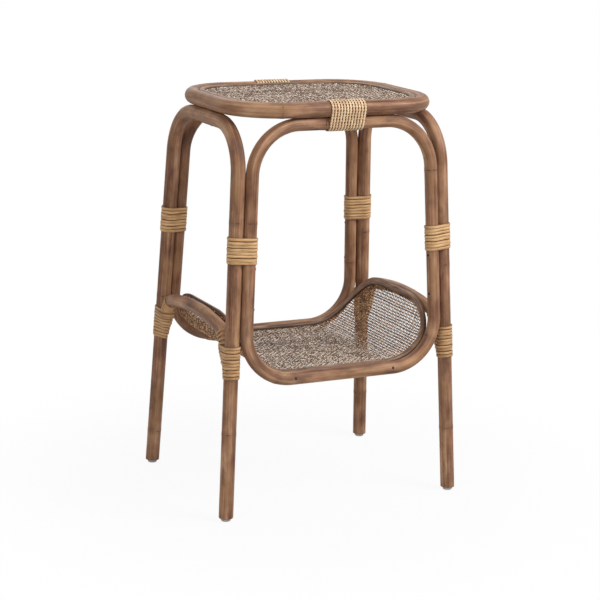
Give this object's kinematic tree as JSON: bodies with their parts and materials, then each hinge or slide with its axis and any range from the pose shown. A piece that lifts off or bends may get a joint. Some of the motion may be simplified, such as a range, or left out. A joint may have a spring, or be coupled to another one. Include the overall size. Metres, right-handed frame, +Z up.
{
  "type": "rattan side table",
  "caption": "Side table of bent rattan poles with splayed legs, lashed hoops, a woven cane top inside a round rim and a woven shelf slung below.",
  "frame": {"origin": "on the floor, under the middle of the four feet", "axes": "+X to the table's right side, -Y out of its front hoop, +Z up"},
  "size_m": [0.4436, 0.3525, 0.6853],
  "materials": {
    "rattan_pole": "satin, mottled brown rattan with pale and dark streaks",
    "cane_binding": "satin split cane",
    "twisted_cord": "dry twisted cane cord",
    "weave": "plain open weave of fine cane",
    "moulding": "satin dark half-round strip",
    "dowel": "bare turned wood",
    "nail": "dark, dull",
    "glide": "matte, pale"
  },
  "bodies": {
    "root": {"back_hoop": "rattan_pole", "back_hoop_splice_dowel": "dowel", "back_left_glide": "glide", "back_left_mid_lashing": "cane_binding", "back_left_rail_lashing": "cane_binding", "back_right_glide": "glide", "back_right_mid_lashing": "cane_binding", "back_right_rail_lashing": "cane_binding", "back_top_lashing": "twisted_cord", "front_hoop": "rattan_pole", "front_hoop_splice_dowel": "dowel", "front_left_glide": "glide", "front_left_mid_lashing": "cane_binding", "front_left_rail_lashing": "cane_binding", "front_right_glide": "glide", "front_right_mid_lashing": "cane_binding", "front_right_rail_lashing": "cane_binding", "front_top_lashing": "twisted_cord", "glide_nails": "nail", "hoop_to_leg_nails": "nail", "left_leg_frame": "rattan_pole", "left_shelf_rail": "rattan_pole", "rail_to_leg_nails": "nail", "right_leg_frame": "rattan_pole", "right_shelf_rail": "rattan_pole", "rim_nails": "nail", "rim_splice_dowel": "dowel", "shelf_back_bearer": "rattan_pole", "shelf_bearer_nails": "nail", "shelf_front_bearer": "rattan_pole", "shelf_moulding": "moulding", "shelf_moulding_brads": "nail", "shelf_weave": "weave", "top_moulding": "moulding", "top_moulding_brads": "nail", "top_rim": "rattan_pole", "top_ring_nails": "nail", "top_weave": "weave", "top_weave_ring": "rattan_pole"}
  },
  "joints": []
}
